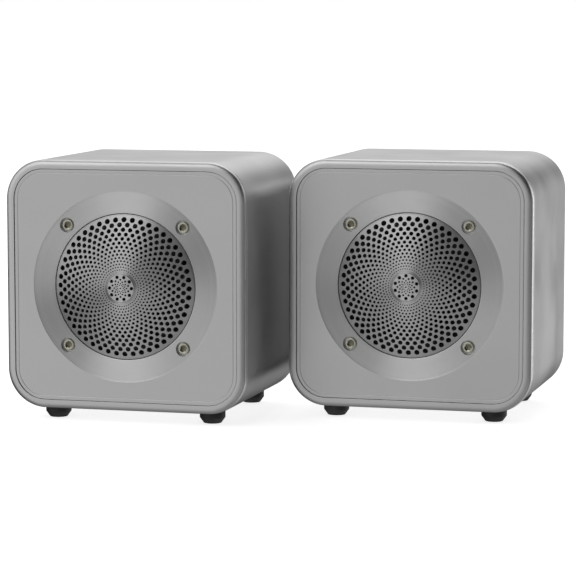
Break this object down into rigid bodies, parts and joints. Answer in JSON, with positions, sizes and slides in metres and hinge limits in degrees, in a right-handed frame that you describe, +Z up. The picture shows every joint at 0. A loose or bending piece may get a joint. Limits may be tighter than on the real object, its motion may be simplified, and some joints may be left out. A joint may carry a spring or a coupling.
{
  "type": "desktop speaker pair",
  "caption": "Pair of small cube desktop speakers in satin aluminium, each with a domed perforated grille, a turned dish with socket screws, and rubber feet.",
  "frame": {"origin": "on the desk under the middle of the pair's box", "axes": "+X to the right as seen from the front, along the row of the two cabinets; -Y is the front, where the grilles face; +Z up"},
  "size_m": [0.2496, 0.152, 0.126],
  "materials": {
    "shell_satin": "satin, bead blasted and anodised",
    "bezel_satin": "satin",
    "faceplate_brushed": "fine brushed, with a turned dish",
    "grille_metal": "turned, satin",
    "screw_zinc": "zinc plated",
    "plated_steel": "zinc plated",
    "basket_steel": "black powder coat",
    "ferrite": "matt",
    "coil_copper": "enamelled wire",
    "foot_rubber": "matt moulded rubber",
    "surround_rubber": "soft matt rubber",
    "lead_rubber": "matt",
    "black_plastic": "moulded",
    "back_panel_plastic": "fine moulded grain",
    "socket_plastic": "moulded",
    "switch_plastic": "moulded",
    "rocker_plastic": "gloss",
    "cone_paper": "coated paper",
    "dust_cap_paper": "coated paper",
    "spider_cloth": "resin-treated cloth",
    "wadding_fibre": "polyester fibre",
    "circuit_board": "solder mask",
    "knob_aluminium": "turned, knurled edge"
  },
  "bodies": {
    "left_cabinet": {"left_shell": "shell_satin", "left_front_bezel": "bezel_satin", "left_faceplate": "faceplate_brushed", "left_grille": "grille_metal", "left_baffle": "black_plastic", "left_driver_basket": "basket_steel", "left_surround": "surround_rubber", "left_spider": "spider_cloth", "left_top_plate": "plated_steel", "left_magnet": "ferrite", "left_yoke": "plated_steel", "left_driver_lead": "lead_rubber", "left_wadding": "wadding_fibre", "left_back_panel": "back_panel_plastic", "left_link_socket": "socket_plastic", "left_grille_screw_1": "screw_zinc", "left_grille_screw_2": "screw_zinc", "left_grille_screw_3": "screw_zinc", "left_grille_screw_4": "screw_zinc", "left_foot_1": "foot_rubber", "left_foot_2": "foot_rubber", "left_foot_3": "foot_rubber", "left_foot_4": "foot_rubber"},
    "right_cabinet": {"right_shell": "shell_satin", "right_front_bezel": "bezel_satin", "right_faceplate": "faceplate_brushed", "right_grille": "grille_metal", "right_baffle": "black_plastic", "right_driver_basket": "basket_steel", "right_surround": "surround_rubber", "right_spider": "spider_cloth", "right_top_plate": "plated_steel", "right_magnet": "ferrite", "right_yoke": "plated_steel", "right_driver_lead": "lead_rubber", "right_wadding": "wadding_fibre", "right_back_panel": "back_panel_plastic", "right_link_socket": "socket_plastic", "right_grille_screw_1": "screw_zinc", "right_grille_screw_2": "screw_zinc", "right_grille_screw_3": "screw_zinc", "right_grille_screw_4": "screw_zinc", "right_foot_1": "foot_rubber", "right_foot_2": "foot_rubber", "right_foot_3": "foot_rubber", "right_foot_4": "foot_rubber", "amp_board": "circuit_board", "dc_inlet": "socket_plastic", "audio_socket": "socket_plastic", "power_switch_frame": "switch_plastic", "volume_pot": "plated_steel"},
    "left_cone": {"left_cone": "cone_paper", "left_dust_cap": "dust_cap_paper", "left_voice_coil": "coil_copper"},
    "right_cone": {"right_cone": "cone_paper", "right_dust_cap": "dust_cap_paper", "right_voice_coil": "coil_copper"},
    "volume_control": {"volume_knob": "knob_aluminium", "volume_shaft": "plated_steel"},
    "power_rocker": {"power_rocker": "rocker_plastic"}
  },
  "joints": [
    {"name": "speaker_spacing", "type": "slide", "parent": "left_cabinet", "child": "right_cabinet", "axis": [1, 0, 0], "range_m": [0, 0.25]},
    {"name": "left_cone_travel", "type": "slide", "parent": "left_cabinet", "child": "left_cone", "axis": [0, -1, 0], "range_m": [-0.0025, 0.0025], "stiffness_N_per_m": 1500, "deforming": ["left_surround", "left_spider"]},
    {"name": "right_cone_travel", "type": "slide", "parent": "right_cabinet", "child": "right_cone", "axis": [0, -1, 0], "range_m": [-0.0025, 0.0025], "stiffness_N_per_m": 1500, "deforming": ["right_surround", "right_spider"]},
    {"name": "volume_turn", "type": "hinge", "parent": "right_cabinet", "child": "volume_control", "pos_m": [0.10285, 0.0641, 0.042], "axis": [0, -1, 0], "range_deg": [0, 300]},
    {"name": "power_rocker_tip", "type": "hinge", "parent": "right_cabinet", "child": "power_rocker", "pos_m": [0.08285, 0.06325, 0.042], "axis": [-1, 0, 0], "range_deg": [0, 18]}
  ]
}
